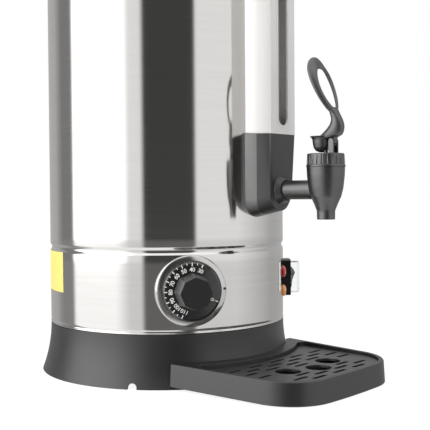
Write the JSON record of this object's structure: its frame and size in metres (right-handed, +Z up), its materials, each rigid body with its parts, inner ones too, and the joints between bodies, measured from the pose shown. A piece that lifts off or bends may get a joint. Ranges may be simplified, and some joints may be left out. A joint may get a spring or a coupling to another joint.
{
  "type": "hot water urn",
  "caption": "Stainless double wall hot water urn with a self closing tap, sight glass, thermostat dial, switch, lift-off lid and pull-out drip tray.",
  "frame": {"origin": "centre of the round base, on the table", "axes": "+Z up along the body, the tap faces -Y, +X to the right when facing the tap from behind the urn's back"},
  "size_m": [0.316, 0.37, 0.4759],
  "materials": {
    "black_plastic": "satin moulded",
    "zinc_steel": "zinc plated",
    "fastener_steel": "satin",
    "polished_steel": "polished with a fine brush grain",
    "tank_steel": "satin",
    "channel_steel": "vertical brush grain",
    "silicone": "matt",
    "dark_silicone": "matt",
    "cast_aluminium": "cast",
    "heater_sheath": "heat darkened",
    "control_plastic": "moulded",
    "red_plastic": "glossy",
    "white_ceramic": "glazed",
    "copper_alloy": "drawn",
    "chrome_trim": "bright",
    "gloss_black": "glossy",
    "rocker_grey": "satin",
    "clear_cover": "clear flexible",
    "lamp_red": "tinted lens",
    "lamp_amber": "tinted lens",
    "clear_glass": "clear",
    "tap_plastic": "satin moulded",
    "stem_plastic": "moulded",
    "tray_plastic": "satin moulded"
  },
  "bodies": {
    "urn": {"base_skirt": "black_plastic", "base_plate": "zinc_steel", "base_screws": "fastener_steel", "tie_rod": "fastener_steel", "tie_nut": "fastener_steel", "outer_shell": "polished_steel", "inner_tank": "tank_steel", "top_rim": "polished_steel", "handle_left": "black_plastic", "handle_right": "black_plastic", "handle_screws": "fastener_steel", "heater_plate": "cast_aluminium", "heater_ring": "heater_sheath", "dry_cutout": "control_plastic", "reset_cutout": "control_plastic", "thermostat_body": "white_ceramic", "capillary": "copper_alloy", "dial_bezel": "chrome_trim", "switch_housing": "gloss_black", "switch_cover": "clear_cover", "lamp_red": "lamp_red", "lamp_amber": "lamp_amber", "sight_cover": "channel_steel", "sight_glass": "clear_glass", "sight_seal_lower": "dark_silicone", "sight_seal_upper": "dark_silicone", "bracket_lower": "black_plastic", "bracket_upper": "black_plastic", "bracket_screws": "fastener_steel", "outlet_tee": "control_plastic", "outlet_gasket": "silicone", "outlet_nut": "fastener_steel", "tap_body": "tap_plastic", "tap_washer": "dark_silicone", "tap_bonnet": "tap_plastic", "stem_spring": "fastener_steel", "cable_gland": "gloss_black", "gland_nut": "gloss_black", "terminal_block": "white_ceramic"},
    "lid": {"lid": "polished_steel", "lid_seal": "silicone", "lid_knob": "black_plastic", "lid_knob_screw": "fastener_steel"},
    "dial": {"dial_knob": "gloss_black", "thermostat_spindle": "fastener_steel"},
    "rocker": {"switch_rocker": "rocker_grey"},
    "lever": {"tap_lever": "tap_plastic", "lever_pin": "fastener_steel"},
    "stem": {"tap_stem": "stem_plastic", "seat_cup": "silicone"},
    "tray": {"tray_body": "tray_plastic"},
    "grille": {"tray_grille": "tray_plastic"},
    "button": {"reset_button": "red_plastic"}
  },
  "joints": [
    {"name": "lid_lift", "type": "slide", "parent": "urn", "child": "lid", "axis": [0, 0, 1], "range_m": [0, 0.06]},
    {"name": "dial_turn", "type": "hinge", "parent": "urn", "child": "dial", "pos_m": [-0.06883, -0.0983, 0.0877], "axis": [-0.5736, -0.8192, 0], "range_deg": [-250, 20]},
    {"name": "switch_rock", "type": "hinge", "parent": "urn", "child": "rocker", "pos_m": [0.08157, -0.08596, 0.0884], "axis": [0.7254, 0.6884, 0], "range_deg": [0, 28]},
    {"name": "lever_pull", "type": "hinge", "parent": "urn", "child": "lever", "pos_m": [0, -0.2066, 0.221], "axis": [1, 0, 0], "range_deg": [0, 35], "stiffness_Nm_per_rad": 0.06, "springref_deg": -11.46},
    {"name": "stem_lift", "type": "slide", "parent": "urn", "child": "stem", "axis": [0, 0, 1], "range_m": [0, 0.0054], "deforming": ["stem_spring"]},
    {"name": "tray_pull", "type": "slide", "parent": "urn", "child": "tray", "axis": [0, -1, 0], "range_m": [0, 0.06]},
    {"name": "grille_lift", "type": "slide", "parent": "tray", "child": "grille", "axis": [0, 0, 1], "range_m": [0, 0.03]},
    {"name": "reset_press", "type": "slide", "parent": "urn", "child": "button", "axis": [0, 0, 1], "range_m": [0, 0.0015], "stiffness_N_per_m": 600}
  ],
  "couplings": [
    {"joint": "stem_lift", "follows": "lever_pull", "m_per_rad": 0.00874}
  ]
}
